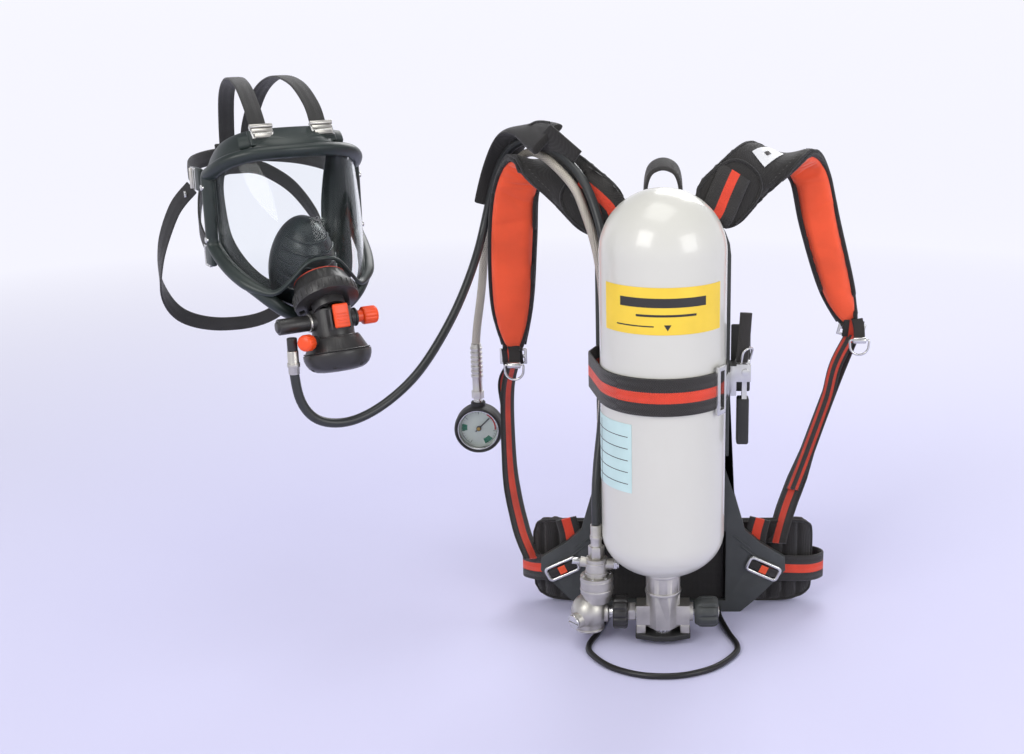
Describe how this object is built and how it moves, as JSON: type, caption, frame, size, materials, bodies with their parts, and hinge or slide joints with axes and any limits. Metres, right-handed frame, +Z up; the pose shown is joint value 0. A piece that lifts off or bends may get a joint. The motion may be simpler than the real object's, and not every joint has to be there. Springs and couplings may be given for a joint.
{
  "type": "breathing apparatus",
  "caption": "Compressed-air breathing set: air cylinder on a padded back frame, with pressure reducer, gauge on a braided hose, demand valve and full-face mask.",
  "frame": {"origin": "on the surface that the set stands on, under the middle of its box", "axes": "+X to the right as seen from the cylinder side, +Y towards the wearer, +Z up"},
  "size_m": [0.8547, 0.3419, 0.6411],
  "materials": {
    "slate_plastic": "moulded, slightly textured",
    "black_webbing": "woven webbing",
    "black_rod": "coated rod",
    "black_foam": "padded cloth",
    "pad_cloth": "black cloth with orange lining",
    "black_rubber": "soft rubber",
    "carbon_wrap": "gloss light grey coat",
    "liner_metal": "bare",
    "nickel": "satin nickel plate",
    "bright_steel": "bright",
    "brass": "turned",
    "black_plastic": "moulded",
    "gloss_black": "gloss",
    "braid": "woven steel braid",
    "dial_white": "printed dial",
    "clear_lens": "clear",
    "orange_plastic": "bright orange",
    "mask_rubber": "dark green-grey rubber",
    "red_silicone": "thin silicone",
    "harness_rubber": "ribbed strap"
  },
  "bodies": {
    "pack": {"backplate": "slate_plastic", "carry_loop": "black_webbing", "foot_bail": "black_rod", "back_pad": "black_foam", "cylinder_saddle": "black_rubber", "cylinder_shell": "carbon_wrap", "cylinder_liner": "liner_metal", "cylinder_band": "black_webbing", "band_buckle": "nickel", "band_tail": "black_webbing", "latch_pad": "black_rubber", "valve_body": "nickel", "valve_guard": "nickel", "guard_foot": "black_rubber", "burst_cap": "bright_steel", "reducer_body": "nickel", "reducer_spring": "bright_steel", "reducer_plugs": "bright_steel", "coupling_spigot": "bright_steel", "hose_fittings": "nickel", "air_hose": "black_rubber", "gauge_hose": "braid", "gauge_stem": "nickel", "shoulder_pads": "pad_cloth", "hose_sleeve": "black_webbing", "pull_straps": "black_webbing", "strap_slides": "bright_steel", "waist_pads": "black_foam", "waist_belt": "black_webbing", "belt_slides": "bright_steel", "demand_body": "black_plastic", "demand_cover": "black_plastic", "inlet_barrel": "gloss_black"},
    "lever": {"latch_lever": "nickel"},
    "handwheel": {"valve_handwheel": "slate_plastic", "valve_spindle": "bright_steel"},
    "plug": {"valve_plug": "brass"},
    "piston": {"reducer_piston": "bright_steel"},
    "coupling": {"coupling_wheel": "black_plastic", "coupling_nut": "bright_steel"},
    "gauge": {"gauge_case": "bright_steel", "gauge_boot": "black_rubber", "gauge_dial": "dial_white", "gauge_lens": "clear_lens"},
    "needle": {"gauge_needle": "gloss_black"},
    "ring_left": {"d_ring_left": "bright_steel"},
    "ring_right": {"d_ring_right": "bright_steel"},
    "diaphragm": {"demand_diaphragm": "mask_rubber"},
    "release": {"release_latch": "orange_plastic"},
    "bypass": {"bypass_knob": "orange_plastic"},
    "reset": {"reset_button": "orange_plastic"},
    "mask": {"port_ring": "mask_rubber", "visor": "clear_lens", "visor_frame": "mask_rubber", "face_seal": "mask_rubber", "nose_cup": "black_rubber", "head_harness": "harness_rubber", "harness_buckles": "nickel", "neck_strap": "harness_rubber"},
    "exhale": {"exhale_valve": "red_silicone"}
  },
  "joints": [
    {"name": "latch_swing", "type": "hinge", "parent": "pack", "child": "lever", "pos_m": [0.262, -0.073, 0.331], "axis": [0, -1, 0], "range_deg": [0, 110]},
    {"name": "handwheel_turn", "type": "hinge", "parent": "pack", "child": "handwheel", "pos_m": [0.171, -0.073, 0.037], "axis": [1, 0, 0], "range_deg": [0, 720]},
    {"name": "valve_plug_lift", "type": "slide", "parent": "pack", "child": "plug", "axis": [1, 0, 0], "range_m": [0, 0.003]},
    {"name": "reducer_piston_stroke", "type": "slide", "parent": "pack", "child": "piston", "axis": [0, 0, 1], "range_m": [0, 0.0015], "stiffness_N_per_m": 2000},
    {"name": "coupling_turn", "type": "hinge", "parent": "pack", "child": "coupling", "pos_m": [0.171, -0.073, 0.037], "axis": [1, 0, 0], "continuous": true},
    {"name": "gauge_swivel", "type": "hinge", "parent": "pack", "child": "gauge", "pos_m": [-0.065, 0.137, 0.194], "axis": [0, 0, 1], "continuous": true},
    {"name": "needle_sweep", "type": "hinge", "parent": "gauge", "child": "needle", "pos_m": [-0.065, 0.137, 0.194], "axis": [0, 1, 0], "range_deg": [-180, 90]},
    {"name": "ring_left_swing", "type": "hinge", "parent": "pack", "child": "ring_left", "pos_m": [-0.015, 0.112, 0.284], "axis": [1, 0, 0], "range_deg": [-70, 0]},
    {"name": "ring_right_swing", "type": "hinge", "parent": "pack", "child": "ring_right", "pos_m": [0.414, 0.105, 0.318], "axis": [1, 0, 0], "range_deg": [-70, 0]},
    {"name": "diaphragm_flex", "type": "slide", "parent": "pack", "child": "diaphragm", "axis": [-0.1485, 0.212, 0.9659], "range_m": [0, 0.002], "stiffness_N_per_m": 200},
    {"name": "release_press", "type": "slide", "parent": "pack", "child": "release", "axis": [-0.554, 0.7912, -0.2588], "range_m": [0, 0.002], "stiffness_N_per_m": 600},
    {"name": "bypass_turn", "type": "hinge", "parent": "pack", "child": "bypass", "pos_m": [-0.17033, -0.05856, 0.38767], "axis": [0.8192, 0.5736, 0], "range_deg": [0, 180]},
    {"name": "reset_press", "type": "slide", "parent": "pack", "child": "reset", "axis": [0.2714, 0.948, -0.1664], "range_m": [0, 0.002], "stiffness_N_per_m": 600},
    {"name": "mask_swivel", "type": "hinge", "parent": "pack", "child": "mask", "pos_m": [-0.19837, -0.07343, 0.413], "axis": [-0.3838, 0.5481, 0.7431], "range_deg": [-20, 20]},
    {"name": "exhale_lift", "type": "slide", "parent": "mask", "child": "exhale", "axis": [-0.3838, 0.5481, 0.7431], "range_m": [0, 0.0015], "stiffness_N_per_m": 300}
  ],
  "couplings": [
    {"joint": "valve_plug_lift", "follows": "handwheel_turn", "m_per_rad": 0.00023873}
  ]
}
